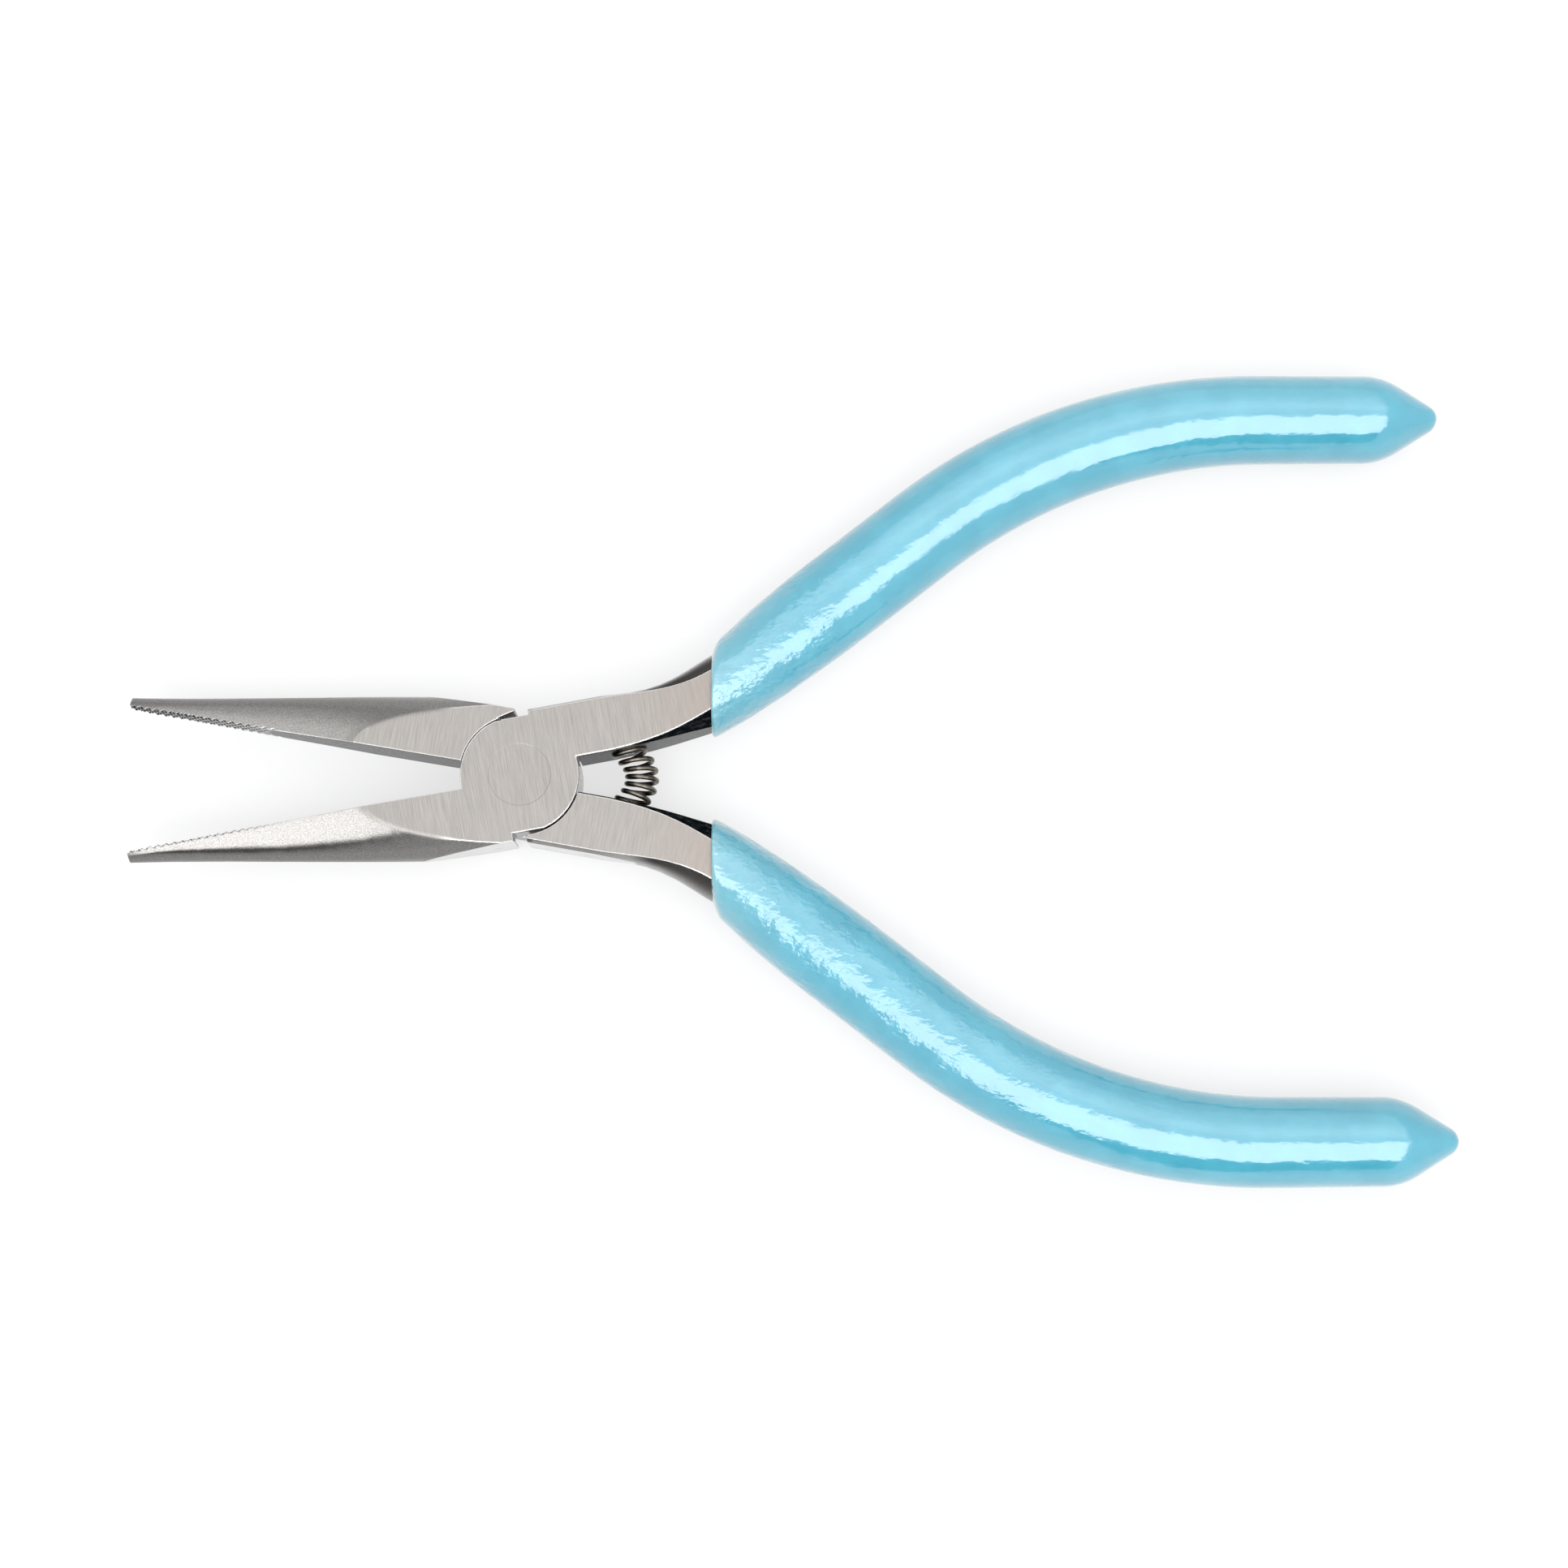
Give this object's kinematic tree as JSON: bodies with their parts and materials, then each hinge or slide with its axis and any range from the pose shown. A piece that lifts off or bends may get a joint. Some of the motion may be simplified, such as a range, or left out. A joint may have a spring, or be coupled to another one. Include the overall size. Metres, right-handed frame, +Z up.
{
  "type": "needle nose pliers",
  "caption": "Lap-jointed needle nose pliers with half-round serrated jaws, a coil return spring and dipped vinyl grips on bowed handles.",
  "frame": {"origin": "on the hinge axis, at the ground underside of the joint (the rivet's lower end face)", "axes": "+Z up along the hinge axis through the joint, -X towards the jaw tips, +X towards the handle ends, +Y towards the handle of the front half"},
  "size_m": [0.1248, 0.0776, 0.0086],
  "materials": {
    "ground_steel": "ground and satin",
    "rivet_steel": "ground flush",
    "spring_steel": "dark drawn wire",
    "dipped_vinyl": "glossy dipped vinyl"
  },
  "bodies": {
    "back": {"back_half": "ground_steel", "back_grip": "dipped_vinyl", "return_spring": "spring_steel"},
    "front": {"front_half": "ground_steel", "front_grip": "dipped_vinyl", "pivot_rivet": "rivet_steel"}
  },
  "joints": [
    {"name": "hinge", "type": "hinge", "parent": "back", "child": "front", "pos_m": [0, 0, 0], "axis": [0, 0, 1], "range_deg": [-20.6, 10.5], "stiffness_Nm_per_rad": 0.12, "deforming": ["return_spring"]}
  ]
}
